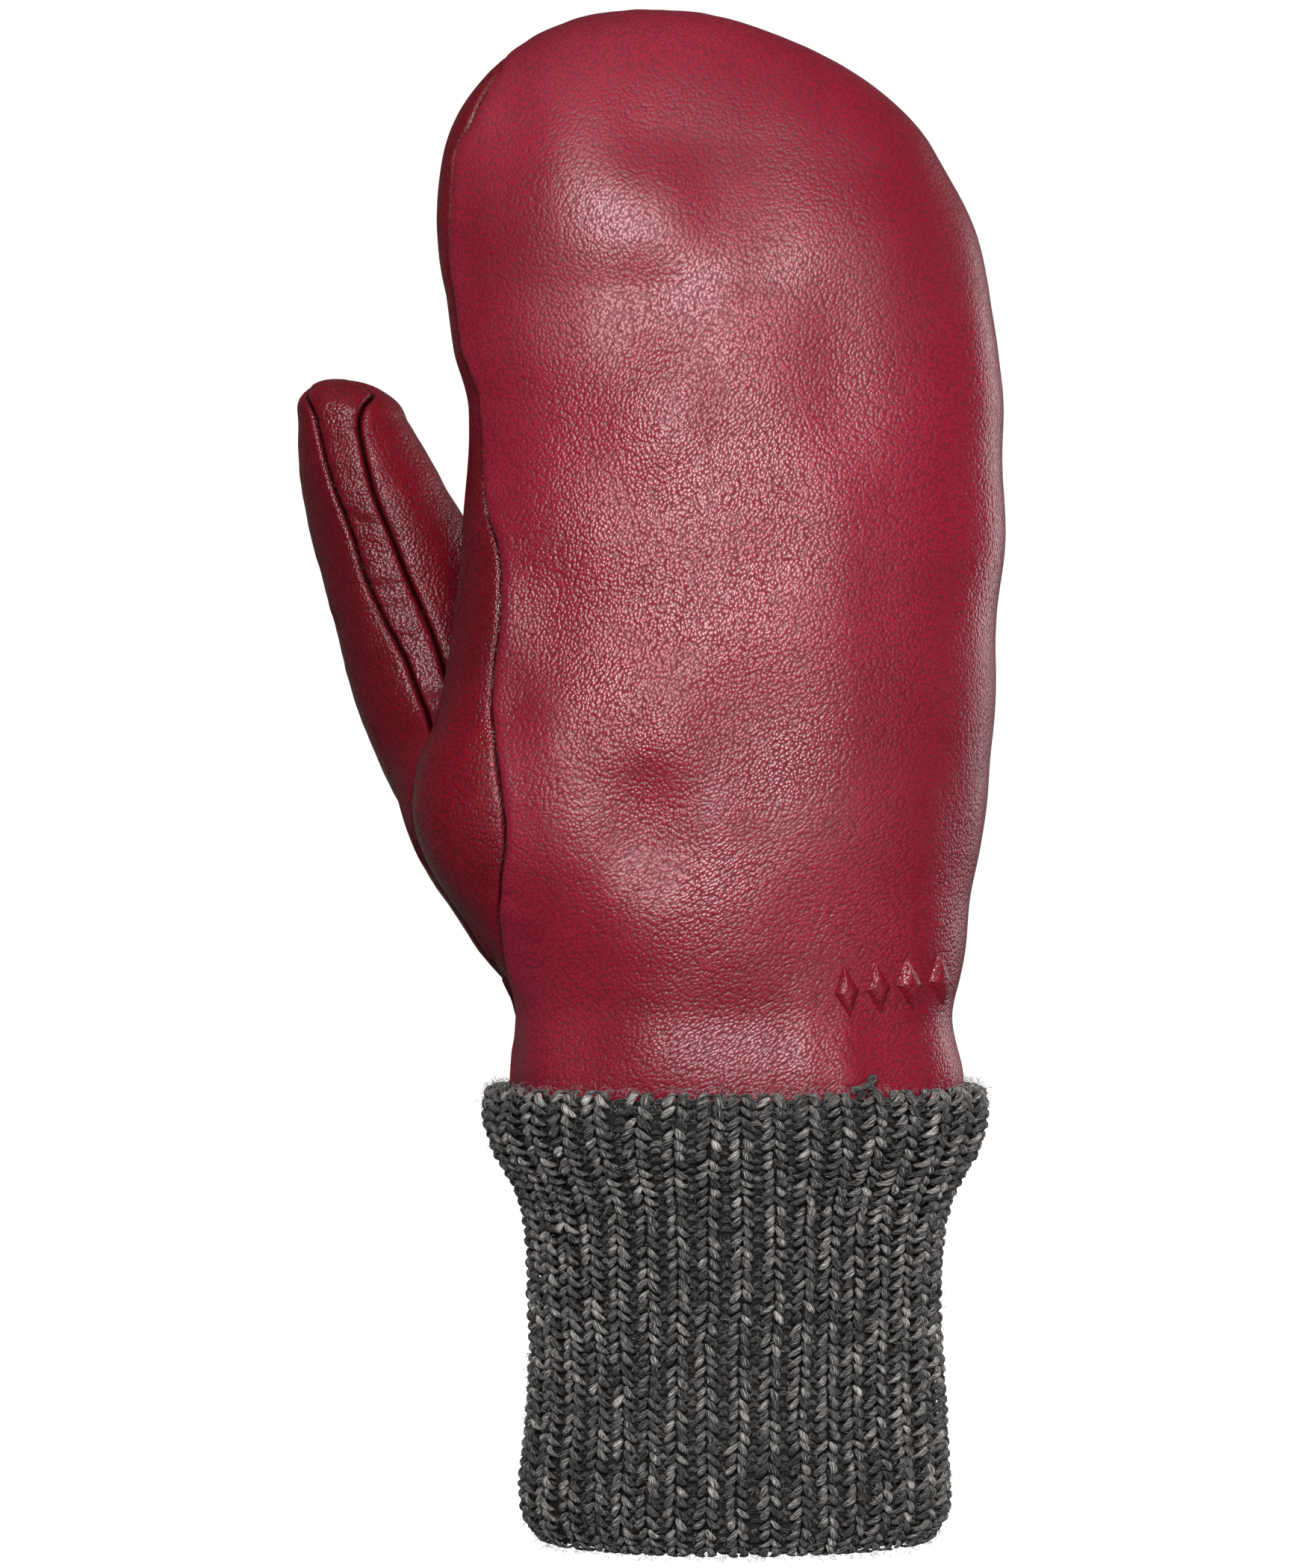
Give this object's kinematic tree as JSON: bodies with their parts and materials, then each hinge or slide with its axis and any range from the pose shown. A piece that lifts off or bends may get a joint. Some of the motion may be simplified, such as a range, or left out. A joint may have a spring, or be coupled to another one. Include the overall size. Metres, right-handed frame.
{
  "type": "ski mitten",
  "caption": "Insulated leather ski mitten for the right hand: padded mitten bag and thumb, bending at knuckles, thumb and wrist, on a long turned-back rib-knit cuff.",
  "frame": {"origin": "centre of the knitted cuff's opening, on the plane that the cuff's rim stands on", "axes": "+Z from the cuff's rim towards the fingertips, -Y out of the back of the hand, -X towards the thumb"},
  "size_m": [0.1475, 0.0836, 0.3177],
  "materials": {
    "leather": "smooth pebbled burgundy, satin",
    "leather_side": "smooth burgundy, darker at the sides",
    "membrane": "thin coated waterproof film",
    "insulation": "lofted polyester wadding",
    "lining": "brushed fleece",
    "knit": "melange grey wool rib knit",
    "elastic": "braided elastic tape",
    "label": "blank satin tape"
  },
  "bodies": {
    "hand": {"back_panel_hand": "leather", "palm_panel_hand": "leather", "side_gusset_hand": "leather_side", "raised_motif": "leather", "membrane_hand": "membrane", "back_insulation_hand": "insulation", "palm_insulation_hand": "insulation", "lining_hand": "lining", "wrist_elastic": "elastic", "thumb_base_panel": "leather_side", "thumb_membrane_base": "membrane", "thumb_insulation_base": "insulation", "thumb_lining_base": "lining", "cuff_collar": "knit", "cuff_root": "knit", "care_label": "label"},
    "fingers": {"back_panel_fingers": "leather", "palm_panel_fingers": "leather", "side_gusset_fingers": "leather_side", "membrane_fingers": "membrane", "back_insulation_fingers": "insulation", "palm_insulation_fingers": "insulation", "lining_fingers": "lining"},
    "thumb": {"thumb_palm_panel": "leather_side", "thumb_back_strip": "leather_side", "thumb_inner_panel": "leather_side", "thumb_membrane_tip": "membrane", "thumb_insulation_tip": "insulation", "thumb_lining_tip": "lining"},
    "cuff": {"cuff_knit": "knit"}
  },
  "joints": [
    {"name": "finger_bend", "type": "hinge", "parent": "hand", "child": "fingers", "pos_m": [0, 0.0258, 0.21415], "axis": [-1, 0, 0], "range_deg": [0, 45], "stiffness_Nm_per_rad": 0.4},
    {"name": "thumb_bend", "type": "hinge", "parent": "hand", "child": "thumb", "pos_m": [-0.0606, 0.0508, 0.174], "axis": [-0.9336, 0, -0.3584], "range_deg": [0, 35], "stiffness_Nm_per_rad": 0.2},
    {"name": "wrist_bend", "type": "hinge", "parent": "hand", "child": "cuff", "pos_m": [0, 0.0293, 0.07015], "axis": [1, 0, 0], "range_deg": [0, 30], "stiffness_Nm_per_rad": 1}
  ]
}
